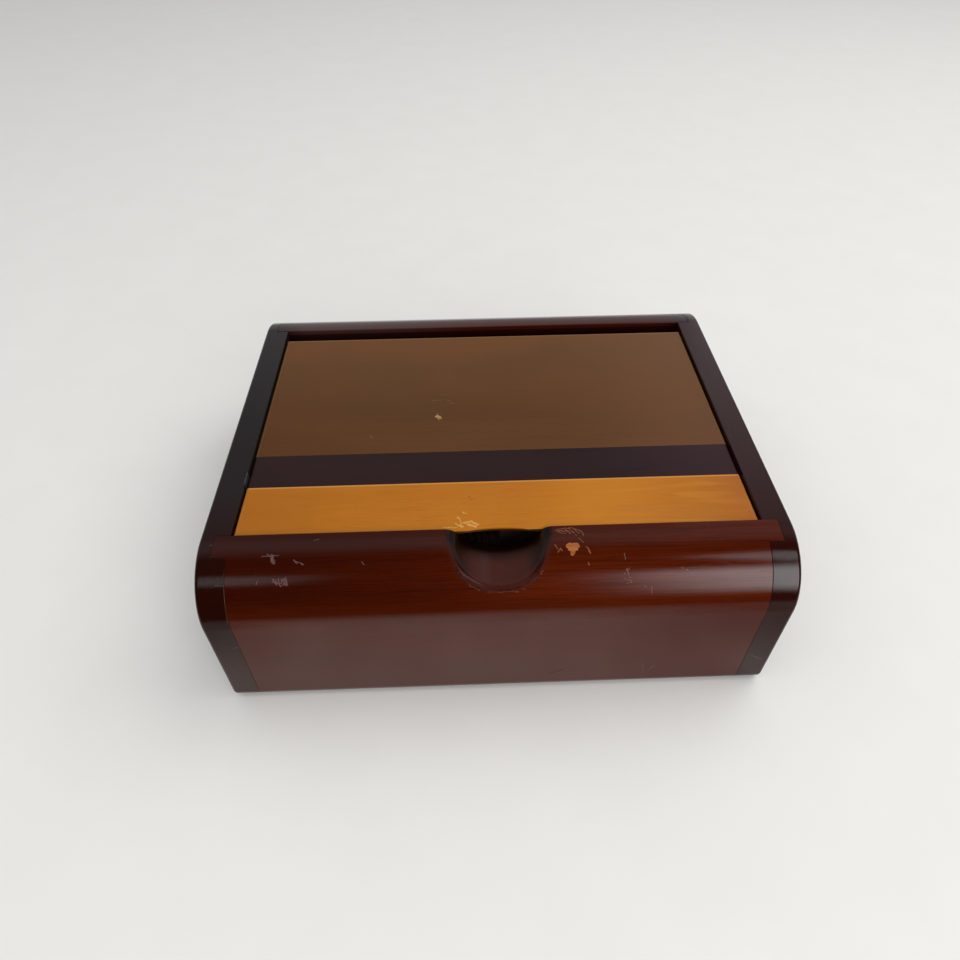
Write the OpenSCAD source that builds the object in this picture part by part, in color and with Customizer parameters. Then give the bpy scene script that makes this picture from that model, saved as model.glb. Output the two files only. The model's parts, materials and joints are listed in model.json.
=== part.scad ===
// Lidded wooden puzzle box: dark end panels, reddish front and rear boards
// tongued into them, a lid of three woods on hidden pins, and a sliding lock
// bolt behind the front board that a fingertip works through the notch.
// Millimetres. Origin: bottom centre. +X right, +Y rear, +Z up.

/* [Box] */
// Width over the end panels
box_w = 200; // [180:1:240]
// Depth, front to rear
box_d = 169; // [160:1:200]
// Height
box_h = 67; // [60:1:80]
// Radius of the two long top edges
top_r = 22; // [18:0.5:24]
// Radius of the bottom edges
foot_r = 5; // [2:0.5:6]

/* [Walls] */
// Thickness of each end panel
end_t = 10; // [9:0.5:14]
// Thickness of the front and rear boards
board_t = 23; // [20:0.1:26]
// Length of the tongue at each end of those boards
tongue_l = 5; // [3:0.5:6]
// Thickness of that tongue
tongue_t = 8.4; // [6:0.2:10]
// Gap left for glue in each joint
joint_gap = 0.1; // [0.05:0.01:0.2]

/* [Base and linings] */
// Thickness of the base panel
base_t = 5; // [3:0.5:6]
// Height of the base panel's underside over the table
base_lift = 4; // [3:0.5:6]
// Depth of the groove that holds the base panel
groove_d = 4; // [3:0.5:5]
// Thickness of the felt-covered lining boards
lining_t = 3; // [2:0.5:4]
// Thickness of the felt on the base
felt_t = 1; // [0.8:0.1:2]
// Thickness of the padded panel under the lid
lid_pad_t = 1.5; // [1:0.1:2]
// Width of the channel between the front board and its lining
channel_w = 11.1; // [11:0.1:14]

/* [Lid] */
// Thickness of the lid
lid_t = 8; // [7:0.5:10]
// Depth of the lid's top below the rails
lid_drop = 1.2; // [0.8:0.1:3]
// Gap at each side of the lid
side_gap = 0.4; // [0.35:0.05:1]
// Gap in front of the lid
front_gap = 0.4; // [0.35:0.05:0.8]
// Gap behind the lid, in which it turns
rear_gap = 5.6; // [4.5:0.1:7]
// Width of the dark strip, front to rear
dark_w = 16.5; // [15:0.1:20]
// Width of the pale strip at the front
pale_w = 23; // [22:0.1:30]
// Radius of the lid's eased top edges
ease_r = 1.2; // [0.6:0.1:1.6]
// Thickness of the splines between the lid's boards
spline_t = 2.6; // [2:0.1:3]
// Depth of a spline in each board
spline_d = 4.5; // [3:0.5:5]
// Gap between the closed lid and the linings under it
rest_gap = 0.2; // [0.1:0.05:0.3]

/* [Hinge] */
// Diameter of the hinge pins
pin_d = 3; // [2:0.1:3.5]
// Length of a pin inside the end panel
pin_in_panel = 7; // [5:0.5:8]
// Length of a pin inside the lid
pin_in_lid = 8.4; // [6:0.2:12]
// Distance of the pins from the lid's rear edge
pin_setback = 4.5; // [4:0.1:6]
// Radial clearance of the pins in the lid
pin_play = 0.05; // [0.02:0.01:0.1]
// Diameter of the washers on the pins
washer_d = 7; // [6:0.5:7.5]
// Depth to which a washer is let into the end panel
washer_sunk = 0.6; // [0.4:0.1:1]

/* [Finger notch] */
// Radius of the scooped notch
notch_r = 19.5; // [16:0.5:24]
// Depth of the notch below the top
notch_depth = 8.5; // [7.5:0.1:9.5]
// Radius where the notch meets the top edge
mouth_r = 5; // [4.2:0.1:6]
// Radius of the rolled rim of the notch
rim_r = 3.4; // [2.4:0.1:3.6]
// Radius of the finger cove under the lid's front edge
cove_r = 6.4; // [4:0.1:6.6]
// Length of that cove
cove_w = 36; // [25:1:45]
// Width of the shallow scallop in the lid's front edge
scallop_w = 22; // [16:1:30]
// Depth of that scallop
scallop_depth = 0.8; // [0.3:0.1:1.2]

/* [Lock] */
// How far the bolt slides
bolt_travel = 12; // [8:0.5:14]
// Length of the bolt's bar
bolt_l = 66; // [60:1:80]
// Height of the bolt's bar
bolt_h = 10; // [8:0.5:12]
// Thickness of the bolt
bolt_t = 5; // [4:0.1:5.5]
// Length of the thumb piece on the bolt
thumb_l = 14; // [8:0.5:16]
// Height of the thumb piece above the bar
thumb_h = 4.5; // [3:0.5:6]
// Thickness of the thumb piece
thumb_t = 7; // [5.5:0.1:7.5]
// Height of the bolt's tongue
bolt_tongue_h = 4.5; // [3:0.1:5]
// Space between the bolt and what it slides beside
bolt_play = 0.2; // [0.15:0.05:0.3]
// Distance between the two guide screws
screw_pitch = 40; // [36:1:50]
// Shank diameter of the guide screws
screw_d = 3; // [2.5:0.1:4]
// Head diameter of the guide screws
screw_head_d = 6.4; // [5.5:0.1:7]
// Head thickness of the guide screws
screw_head_t = 1.8; // [1:0.1:2.5]
// Length of the guide screws in the front board
screw_hold = 10; // [6:0.5:12]
// Length of the hook under the lid
hook_l = 14; // [12:0.5:18]
// Height of the hook under the lid
hook_h = 13; // [12:0.5:15]
// Thickness of the hook's lip
hook_lip = 3; // [2:0.5:3.5]
// Thickness of the hook's leg
hook_leg = 5; // [4.5:0.1:5.5]
// Space between the hook and the bolt's tongue
hook_play = 0.5; // [0.3:0.05:0.6]
// Distance of the hook from the front board
hook_setback = 2.1; // [1.8:0.1:2.6]
// Diameter of the hook's two screws
hook_screw_d = 2; // [1.6:0.1:2.4]
// Head diameter of those screws
hook_head_d = 3.8; // [3:0.1:4]
// Length of those screws inside the lid
hook_hold = 5; // [4:0.5:5.5]

/* [Hidden] */

$fn = 96;
// Overshoot of every cut past the face it opens
cut = 1;
// Gap that lets a fixed pin or screw into its hole
snug = 0.01;

// Walls
in_x = box_w / 2 - end_t;
in_y = box_d / 2 - board_t;
top_y = box_d / 2 - top_r;
top_z = box_h - top_r;
base_top = base_lift + base_t;

// Lid
lid_top = box_h - lid_drop;
lid_low = lid_top - lid_t;
lid_x = in_x - side_gap;
lid_front = -in_y + front_gap;
lid_rear = in_y - rear_gap;
pale_y = lid_front + pale_w;
dark_y = pale_y + dark_w;
spline_z = (lid_top + lid_low) / 2;
spline_room = joint_gap;

// Hinge
pin_y = lid_rear - pin_setback;
pin_z = spline_z;
swing_r = norm([pin_setback, lid_t / 2]);
swing_room = 0.6;
washer_proud = side_gap * 2 / 3;

// Linings
lining_top = lid_low - rest_gap;
lining_in_x = in_x - joint_gap - lining_t;
channel_y = -in_y + channel_w;
rear_lining_y = in_y - joint_gap - lining_t;

// Finger notch: centre of its arc, and of the rounds at its mouth
notch_z = box_h - notch_depth + notch_r;
mouth_z = box_h - mouth_r;
mouth_x = sqrt(pow(notch_r + mouth_r, 2) - pow(notch_z - mouth_z, 2));
mouth_angle = asin(mouth_x / (notch_r + mouth_r));
mouth_low = mouth_z + mouth_r * cos(mouth_angle);

// Lock, with the bolt drawn back (unlocked)
thumb_gap = 0.5;
thumb_z = lid_low - thumb_gap;
bar_top = thumb_z - thumb_h;
bar_z = bar_top - bolt_h;
bolt_x = -bolt_travel / 2;
bar_end = bolt_x + bolt_l / 2;
tip_gap = 1;
hook_x = bar_end + bolt_travel + tip_gap;
bolt_y = -in_y + bolt_play;
slot_z = bar_z + bolt_h / 2;
slot_r = screw_d / 2 + bolt_play;
hook_z = lid_low - hook_h;
hook_y = -in_y + hook_setback;
leg_y = bolt_y + bolt_t + hook_play;
hook_screw_y = leg_y + hook_leg / 2;
hook_screw_x = [hook_x + hook_l / 4, hook_x + hook_l * 3 / 4];
grip_r = 0.9;
grip_pitch = 2.6;
grips = floor((thumb_l - grip_pitch) / grip_pitch / 2);

// ---- shared shapes ----

// Extrudes an outline drawn in (Y, Z) along X, from x0 for a length l
module along_x(x0, l) {
    translate([x0, 0, 0]) rotate([90, 0, 90]) linear_extrude(l) children();
}

// Extrudes an outline drawn in (X, Z) along Y, from y0 for a length l
module along_y(y0, l) {
    translate([0, y0 + l, 0]) rotate([90, 0, 0]) linear_extrude(l) children();
}

// Cross-section of the whole box, with its large and small rounds
module box_outline() {
    translate([-box_d / 2, foot_r]) square([box_d, top_z - foot_r]);
    translate([-top_y, foot_r]) square([2 * top_y, box_h - foot_r]);
    translate([-box_d / 2 + foot_r, 0]) square([box_d - 2 * foot_r, top_z]);
    for (s = [-1, 1]) {
        translate([s * top_y, top_z]) circle(top_r);
        translate([s * (box_d / 2 - foot_r), foot_r]) circle(foot_r);
    }
}

// The part of the cross-section between two places front to rear
module outline_slice(y0, y1) {
    intersection() {
        box_outline();
        translate([y0, 0]) square([y1 - y0, box_h]);
    }
}

// Cuts one long edge round: the edge is the X axis, the stock is at -Y, -Z
module edge_round(r, l) {
    rotate([90, 0, 90]) linear_extrude(l) difference() {
        translate([-r, -r]) square(r + cut);
        translate([-r, -r]) circle(r);
    }
}

// Things on the right-hand end of the hinge axis, from x outwards
module on_hinge(x) translate([x, pin_y, pin_z]) rotate([0, 90, 0]) children();

// Groove for the base panel, in all four walls
module base_groove() {
    x = in_x + groove_d;
    y = in_y + groove_d;
    translate([-x, -y, base_lift - joint_gap])
        cube([2 * x, 2 * y, base_t + 2 * joint_gap]);
}

// ---- walls ----

module right_panel() {
    housing_t = tongue_t + 2 * joint_gap;
    difference() {
        along_x(in_x, end_t) box_outline();
        for (s = [-1, 1])
            translate([in_x - cut, s * (in_y + tongue_t / 2) - housing_t / 2, -cut])
                cube([cut + tongue_l + joint_gap, housing_t, box_h + 2 * cut]);
        base_groove();
        on_hinge(in_x - cut) {
            cylinder(h = pin_in_panel + joint_gap + cut, d = pin_d + 2 * snug);
            cylinder(h = washer_sunk + cut, d = washer_d + 2 * snug);
        }
    }
}

module left_end_panel() color([0.17, 0.11, 0.11]) mirror([1, 0, 0]) right_panel();

module right_end_panel() color([0.17, 0.11, 0.11]) right_panel();

// A board with its two tongues, at the front
module plain_board() {
    body_x = in_x - joint_gap;
    tongue_x = in_x + tongue_l;
    difference() {
        union() {
            along_x(-body_x, 2 * body_x) outline_slice(-box_d / 2, -in_y);
            along_x(-tongue_x, 2 * tongue_x)
                outline_slice(-in_y - tongue_t, -in_y);
        }
        translate([-tongue_x - cut, -in_y - groove_d, base_lift - joint_gap])
            cube([2 * (tongue_x + cut), groove_d + cut, base_t + 2 * joint_gap]);
    }
}

module rear_board() color([0.36, 0.12, 0.07]) mirror([0, 1, 0]) plain_board();

// Outline of the finger notch in (X, Z), open above the board
module notch_outline() {
    difference() {
        union() {
            translate([0, notch_z]) circle(notch_r);
            translate([-mouth_x, mouth_low])
                square([2 * mouth_x, box_h - mouth_low + cut]);
        }
        for (s = [-1, 1])
            translate([s * mouth_x, mouth_z]) circle(mouth_r);
    }
}

// Rolled rim of the notch: a ball of radius rim_r rolls inside the wood along
// the edge where the notch meets the rounded front. Each step of the roll has
// the ball's centre and the direction from it to the notch's wall.
rim_steps = 22;
mouth_steps = 8;
rim_end = 20;
rim_arc = 7;
rim_clear = 0.5;
rim_lift = 0.12;

function ball_y(z) = -top_y - sqrt(pow(top_r - rim_r, 2) - pow(z - top_z, 2));
function at_ball(x, z) = [x, ball_y(z), z];
function notch_step(a) = [at_ball((notch_r + rim_r) * sin(a),
                                  notch_z - (notch_r + rim_r) * cos(a)),
                          [-sin(a), 0, cos(a)]];
function mouth_step(s, a) = [at_ball(s * (mouth_x - (mouth_r - rim_r) * sin(a)),
                                     mouth_z + (mouth_r - rim_r) * cos(a)),
                             [-s * sin(a), 0, cos(a)]];
function mouth_roll(i) = rim_end + (mouth_angle - rim_end) * i / mouth_steps;

rim_path = concat(
    [for (i = [0 : mouth_steps - 1]) mouth_step(-1, mouth_roll(i))],
    [for (i = [0 : rim_steps]) notch_step(mouth_angle * (2 * i / rim_steps - 1))],
    [for (i = [mouth_steps - 1 : -1 : 0]) mouth_step(1, mouth_roll(i))]);

// From the ball's centre to the front's round
function to_front(c) = [0, c.y + top_y, c.z - top_z] / (top_r - rim_r);
function between(a, b, t) =
    let (w = acos(a * b)) (sin((1 - t) * w) * a + sin(t * w) * b) / sin(w);

// One section of the wood to remove: the ball's arc, whose ends are lifted a
// hair out of the two surfaces that it joins, and the corner outside it
function rim_ring(step) =
    let (c = step[0], wall = step[1], front = to_front(c),
         r = rim_r + rim_clear, bisector = (front + wall) / (1 + front * wall))
    concat([c + (rim_r + rim_lift) * front],
           [for (k = [1 : rim_arc - 1]) c + rim_r * between(front, wall, k / rim_arc)],
           [c + (rim_r + rim_lift) * wall,
            c + r * wall, c + r * bisector, c + r * front]);

module rim_cut() {
    n = rim_arc + 4;
    last = len(rim_path) - 1;
    polyhedron(
        points = [for (step = rim_path) each rim_ring(step)],
        faces = concat(
            [[for (k = [0 : n - 1]) k]],
            [for (i = [0 : last - 1], k = [0 : n - 1])
                [i * n + k, (i + 1) * n + k,
                 (i + 1) * n + (k + 1) % n, i * n + (k + 1) % n]],
            [[for (k = [n - 1 : -1 : 0]) last * n + k]]),
        convexity = 6);
}

module front_board() color([0.36, 0.12, 0.07]) difference() {
    plain_board();
    along_y(-box_d / 2 - cut, board_t + 2 * cut) notch_outline();
    rim_cut();
    for (s = [-1, 1])
        translate([s * screw_pitch / 2, -in_y - screw_hold, slot_z])
            rotate([-90, 0, 0])
                cylinder(h = screw_hold + cut, d = screw_d + 2 * snug);
}

// ---- base and linings ----

module base_panel() color([0.62, 0.47, 0.31]) {
    x = in_x + groove_d - joint_gap;
    y = in_y + groove_d - joint_gap;
    translate([-x, -y, base_lift]) cube([2 * x, 2 * y, base_t]);
}

module base_felt() color([0.20, 0.05, 0.07]) {
    x = lining_in_x - joint_gap;
    y0 = channel_y + lining_t + joint_gap;
    translate([-x, y0, base_top]) cube([2 * x, rear_lining_y - joint_gap - y0, felt_t]);
}

// The side lining carries the lid, and is cut down where the lid's rear turns
module side_lining() {
    swing_y = pin_y - swing_r - swing_room;
    swing_low = pin_z - swing_r - swing_room;
    along_x(lining_in_x, lining_t) difference() {
        translate([-in_y + joint_gap, base_top])
            square([2 * (in_y - joint_gap), lining_top - base_top]);
        translate([swing_y, min(swing_low, lining_top - cut)])
            square([in_y, lid_t + cut]);
    }
}

module left_lining() color([0.22, 0.06, 0.08]) mirror([1, 0, 0]) side_lining();

module right_lining() color([0.22, 0.06, 0.08]) side_lining();

// A lining across the box, with its front face at y
module cross_lining(y) {
    x = lining_in_x - joint_gap;
    translate([-x, y, base_top]) cube([2 * x, lining_t, lining_top - base_top]);
}

module front_lining() color([0.22, 0.06, 0.08]) cross_lining(channel_y);

module rear_lining() color([0.22, 0.06, 0.08]) cross_lining(rear_lining_y);

// ---- hinge ----

module hinge_pin() on_hinge(lid_x - pin_in_lid)
    cylinder(h = pin_in_lid + side_gap + pin_in_panel, d = pin_d);

module left_hinge_pin() color([0.80, 0.62, 0.28]) mirror([1, 0, 0]) hinge_pin();

module right_hinge_pin() color([0.80, 0.62, 0.28]) hinge_pin();

module hinge_washer() on_hinge(in_x - washer_proud) difference() {
    washer_t = washer_proud + washer_sunk;
    cylinder(h = washer_t, d = washer_d);
    translate([0, 0, -cut])
        cylinder(h = washer_t + 2 * cut, d = pin_d + 2 * pin_play);
}

module hinge_washers() color([0.80, 0.62, 0.28]) {
    hinge_washer();
    mirror([1, 0, 0]) hinge_washer();
}

// ---- lid ----

// Stock of the lid between two places front to rear, top edges eased
module lid_stock(y0, y1, front = false, rear = false) {
    difference() {
        translate([-lid_x, y0, lid_low]) cube([2 * lid_x, y1 - y0, lid_t]);
        for (s = [0, 1]) mirror([s, 0, 0])
            translate([lid_x, y1 + cut, lid_top]) rotate([0, 0, -90])
                edge_round(ease_r, y1 - y0 + 2 * cut);
        if (rear)
            translate([-lid_x - cut, y1, lid_top]) edge_round(ease_r, 2 * (lid_x + cut));
        if (front)
            translate([lid_x + cut, y0, lid_top]) rotate([0, 0, 180])
                edge_round(ease_r, 2 * (lid_x + cut));
    }
}

// Groove for a spline, along the joint at y
module spline_groove(y) {
    translate([-lid_x - cut, y - spline_d - spline_room, spline_z - spline_t / 2 - spline_room / 2])
        cube([2 * (lid_x + cut), 2 * (spline_d + spline_room), spline_t + spline_room]);
}

module lid_spline(y) {
    translate([-lid_x, y - spline_d, spline_z - spline_t / 2])
        cube([2 * lid_x, 2 * spline_d, spline_t]);
}

module lid_walnut_board() color([0.42, 0.27, 0.17]) difference() {
    lid_stock(dark_y, lid_rear, rear = true);
    spline_groove(dark_y);
    for (s = [0, 1]) mirror([s, 0, 0]) on_hinge(lid_x - pin_in_lid - joint_gap)
        cylinder(h = pin_in_lid + joint_gap + cut, d = pin_d + 2 * pin_play);
}

module lid_dark_strip() color([0.20, 0.14, 0.14]) difference() {
    lid_stock(pale_y, dark_y);
    spline_groove(dark_y);
    spline_groove(pale_y);
}

// Cove under the lid's front edge, with round ends
module finger_cove() {
    straight = cove_w / 2 - cove_r;
    translate([-straight, lid_front, lid_low]) rotate([0, 90, 0])
        cylinder(h = 2 * straight, r = cove_r);
    for (s = [-1, 1]) translate([s * straight, lid_front, lid_low]) sphere(cove_r);
}

// Shallow scallop worn into the lid's front edge
module edge_scallop() {
    r = (pow(scallop_w / 2, 2) + pow(scallop_depth, 2)) / (2 * scallop_depth);
    translate([0, lid_front + scallop_depth - r, lid_low - cut])
        cylinder(h = lid_t + 2 * cut, r = r, $fn = 360);
}

module lid_maple_board() color([0.74, 0.45, 0.16]) difference() {
    lid_stock(lid_front, pale_y, front = true);
    spline_groove(pale_y);
    finger_cove();
    edge_scallop();
    for (x = hook_screw_x)
        translate([x, hook_screw_y, lid_low - cut])
            cylinder(h = hook_hold + cut + snug, d = hook_screw_d + 2 * snug);
}

module rear_lid_spline() color([0.72, 0.55, 0.36]) lid_spline(dark_y);

module front_lid_spline() color([0.72, 0.55, 0.36]) lid_spline(pale_y);

// The pad lies inside the linings, clear of the hook and of the hinge side
module lid_pad() color([0.20, 0.05, 0.07]) {
    margin = 3;
    x = lining_in_x - margin;
    y0 = channel_y + lining_t + margin;
    y1 = pin_y - swing_r - margin;
    translate([-x, y0, lid_low - lid_pad_t]) cube([2 * x, y1 - y0, lid_pad_t]);
}

// ---- lock ----

// Hook under the lid: the bolt's tongue slides over its lip
module lid_hook() color([0.20, 0.14, 0.14]) difference() {
    along_x(hook_x, hook_l) {
        translate([leg_y, hook_z]) square([hook_leg, hook_h]);
        translate([hook_y, hook_z]) square([leg_y + hook_leg - hook_y, hook_lip]);
    }
    for (x = hook_screw_x) translate([x, hook_screw_y, hook_z]) hook_screw(snug);
}

// Countersunk screw from below, grown all round by a gap for its hole
module hook_screw(gap = 0) {
    head_h = (hook_head_d - hook_screw_d) / 2;
    rotate_extrude($fn = 48) polygon([
        [0, -gap],
        [hook_head_d / 2 + gap, -gap],
        [hook_head_d / 2 + gap, 0],
        [hook_screw_d / 2 + gap, head_h],
        [hook_screw_d / 2 + gap, hook_h + hook_hold],
        [0, hook_h + hook_hold]]);
}

module hook_screws() color([0.80, 0.62, 0.28])
    for (x = hook_screw_x) translate([x, hook_screw_y, hook_z]) hook_screw();

// Slot in the bar whose right-hand end lies on a guide screw
module bolt_slot(x) {
    along_y(bolt_y - cut, bolt_t + 2 * cut) {
        for (dx = [-bolt_travel, 0]) translate([x + dx, slot_z]) circle(slot_r, $fn = 48);
        translate([x - bolt_travel, slot_z - slot_r]) square([bolt_travel, 2 * slot_r]);
    }
}

module lock_bolt() color([0.24, 0.16, 0.13]) difference() {
    union() {
        translate([bar_end - bolt_l, bolt_y, bar_z]) cube([bolt_l, bolt_t, bolt_h]);
        // the tongue and the thumb piece grow out of the bar
        translate([bolt_x, bolt_y, bar_top - bolt_tongue_h])
            cube([bar_end + bolt_travel - bolt_x, bolt_t, bolt_tongue_h]);
        translate([bolt_x - thumb_l / 2, bolt_y, bar_z])
            cube([thumb_l, bolt_t, bolt_h + thumb_h]);
        translate([bolt_x - thumb_l / 2, bolt_y, bar_top])
            cube([thumb_l, thumb_t, thumb_h]);
    }
    for (s = [-1, 1]) bolt_slot(s * screw_pitch / 2);
    for (i = [-grips : grips])
        translate([bolt_x + i * grip_pitch, bolt_y - cut, thumb_z + grip_r / 3])
            rotate([-90, 0, 0]) cylinder(h = thumb_t + 2 * cut, r = grip_r, $fn = 24);
}

// Round-headed guide screws that carry the bolt by its slots
module bolt_screws() color([0.80, 0.62, 0.28])
    for (s = [-1, 1]) translate([s * screw_pitch / 2, -in_y, slot_z]) rotate([-90, 0, 0]) {
        head_y = bolt_play + bolt_t + bolt_play;
        translate([0, 0, -screw_hold]) cylinder(h = screw_hold + head_y + snug, d = screw_d);
        translate([0, 0, head_y]) cylinder(h = screw_head_t, d = screw_head_d);
    }

left_end_panel();
right_end_panel();
front_board();
rear_board();
base_panel();
base_felt();
left_lining();
right_lining();
front_lining();
rear_lining();
left_hinge_pin();
right_hinge_pin();
hinge_washers();
bolt_screws();
lid_walnut_board();
lid_dark_strip();
lid_maple_board();
rear_lid_spline();
front_lid_spline();
lid_pad();
lid_hook();
hook_screws();
lock_bolt();
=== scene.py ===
import json
import math

import bmesh
import bpy
from mathutils import Matrix, Vector


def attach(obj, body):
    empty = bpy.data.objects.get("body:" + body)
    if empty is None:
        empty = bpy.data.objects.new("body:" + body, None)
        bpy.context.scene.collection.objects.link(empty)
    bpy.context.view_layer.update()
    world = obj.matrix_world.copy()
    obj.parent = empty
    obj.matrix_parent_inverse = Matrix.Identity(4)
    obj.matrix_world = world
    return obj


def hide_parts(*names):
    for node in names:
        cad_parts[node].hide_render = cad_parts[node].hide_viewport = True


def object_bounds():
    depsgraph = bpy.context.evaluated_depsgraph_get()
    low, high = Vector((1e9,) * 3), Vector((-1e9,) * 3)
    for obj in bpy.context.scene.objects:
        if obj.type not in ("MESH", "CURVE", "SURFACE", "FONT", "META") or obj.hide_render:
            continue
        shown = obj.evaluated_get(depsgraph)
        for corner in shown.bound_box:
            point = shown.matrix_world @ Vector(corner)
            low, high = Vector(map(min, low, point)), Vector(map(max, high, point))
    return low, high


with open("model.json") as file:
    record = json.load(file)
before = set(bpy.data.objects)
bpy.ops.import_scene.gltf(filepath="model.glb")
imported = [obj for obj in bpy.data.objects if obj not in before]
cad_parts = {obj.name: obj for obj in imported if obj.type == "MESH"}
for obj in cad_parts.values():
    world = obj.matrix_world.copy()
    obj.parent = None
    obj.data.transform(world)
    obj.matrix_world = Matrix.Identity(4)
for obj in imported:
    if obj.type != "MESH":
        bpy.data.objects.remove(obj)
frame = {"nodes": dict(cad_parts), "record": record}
cad_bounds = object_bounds()

MM = 0.001

# ---- camera ----

CAMERA_PLACE = Vector((-10.83, -217.2, 245.5)) * MM
CAMERA_PITCH = math.radians(44.955)
CAMERA_YAW = math.radians(-1.742)
CAMERA_ROLL = math.radians(-0.413)
IMAGE_PX = 960
FOCAL_PX = 700.5
SENSOR_MM = 36
NEAREST_SEEN = 0.01


def add_camera():
    ahead = Vector((-math.sin(CAMERA_YAW) * math.cos(CAMERA_PITCH),
                    math.cos(CAMERA_YAW) * math.cos(CAMERA_PITCH),
                    -math.sin(CAMERA_PITCH)))
    level = Vector((math.cos(CAMERA_YAW), math.sin(CAMERA_YAW), 0))
    upright = level.cross(ahead)
    right = math.cos(CAMERA_ROLL) * level + math.sin(CAMERA_ROLL) * upright
    up = right.cross(ahead)
    camera = bpy.data.objects.new("camera", bpy.data.cameras.new("camera"))
    turn = Matrix((right, up, -ahead)).transposed().to_4x4()
    camera.matrix_world = Matrix.Translation(CAMERA_PLACE) @ turn
    camera.data.sensor_width = SENSOR_MM
    camera.data.lens = SENSOR_MM * FOCAL_PX / IMAGE_PX
    camera.data.clip_start = NEAREST_SEEN
    bpy.context.scene.collection.objects.link(camera)
    bpy.context.scene.camera = camera


add_camera()

# ---- shader maths ----


class Value:
    """A number or colour that varies over a surface: one output socket."""

    def __init__(self, tree, socket):
        self.tree = tree
        self.socket = socket

    def fill(self, slots, values):
        for slot, value in zip(slots, values):
            if isinstance(value, Value):
                self.tree.links.new(value.socket, slot)
            else:
                slot.default_value = value

    def math(self, operation, *others, first=None):
        node = self.tree.nodes.new("ShaderNodeMath")
        node.operation = operation
        self.fill(node.inputs, (self,) + others if first is None else (first, self) + others)
        return Value(self.tree, node.outputs[0])

    def vector(self, operation, *others, output="Vector"):
        node = self.tree.nodes.new("ShaderNodeVectorMath")
        node.operation = operation
        self.fill(node.inputs, (self,) + others)
        return Value(self.tree, node.outputs[output])

    def __add__(self, other):
        return self.math("ADD", other)

    def __sub__(self, other):
        return self.math("SUBTRACT", other)

    def __mul__(self, other):
        return self.math("MULTIPLY", other)

    def __truediv__(self, other):
        return self.math("DIVIDE", other)

    def __radd__(self, other):
        return self.math("ADD", first=other)

    def __rsub__(self, other):
        return self.math("SUBTRACT", first=other)

    def __rmul__(self, other):
        return self.math("MULTIPLY", first=other)

    def __neg__(self):
        return self.math("MULTIPLY", -1)

    def __abs__(self):
        return self.math("ABSOLUTE")

    def least(self, other):
        return self.math("MINIMUM", other)

    def most(self, other):
        return self.math("MAXIMUM", other)

    def clamped(self):
        # a Math node's own clamp is worked out last of all, and dozens of them overflow the renderer
        return self.most(0).least(1)

    def root(self):
        return self.math("SQRT")


class Nodes:
    """Builds nodes in one tree, and wires their inputs by name or place."""

    def __init__(self, tree):
        self.tree = tree

    def add(self, kind, settings=None, inputs=None, output=0):
        node = self.tree.nodes.new(kind)
        for name, value in (settings or {}).items():
            setattr(node, name, value)
        for name, value in (inputs or {}).items():
            if isinstance(value, Value):
                self.tree.links.new(value.socket, node.inputs[name])
            else:
                node.inputs[name].default_value = value
        return Value(self.tree, node.outputs[output])

    def axes(self, place):
        return [self.add("ShaderNodeSeparateXYZ", {}, {"Vector": place}, output=axis)
                for axis in "XYZ"]

    def blend(self, share, under, over):
        """The colour under, covered by the colour over to the given share."""
        under, over = (c if isinstance(c, Value) else (*c, 1) for c in (under, over))
        return self.add("ShaderNodeMix", {"data_type": "RGBA"},
                        {0: share, 6: under, 7: over}, output=2)

    def step(self, value, low, high):
        """0 at low and 1 at high, smooth between; low may be above high."""
        return self.add("ShaderNodeMapRange", {"interpolation_type": "SMOOTHSTEP", "clamp": False},
                        {"Value": value, "From Min": low, "From Max": high})

    def noise(self, place, detail=2, rough=0.5, distortion=0, output=0):
        return self.add("ShaderNodeTexNoise", {"noise_dimensions": "3D"},
                        {"Vector": place, "Scale": 1, "Detail": detail,
                         "Roughness": rough, "Distortion": distortion}, output)

    def scaled(self, place, x, y, z, shift=0):
        return self.add("ShaderNodeMapping", {"vector_type": "POINT"},
                        {"Vector": place, "Scale": (x, y, z), "Location": (shift, shift, shift)})


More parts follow.
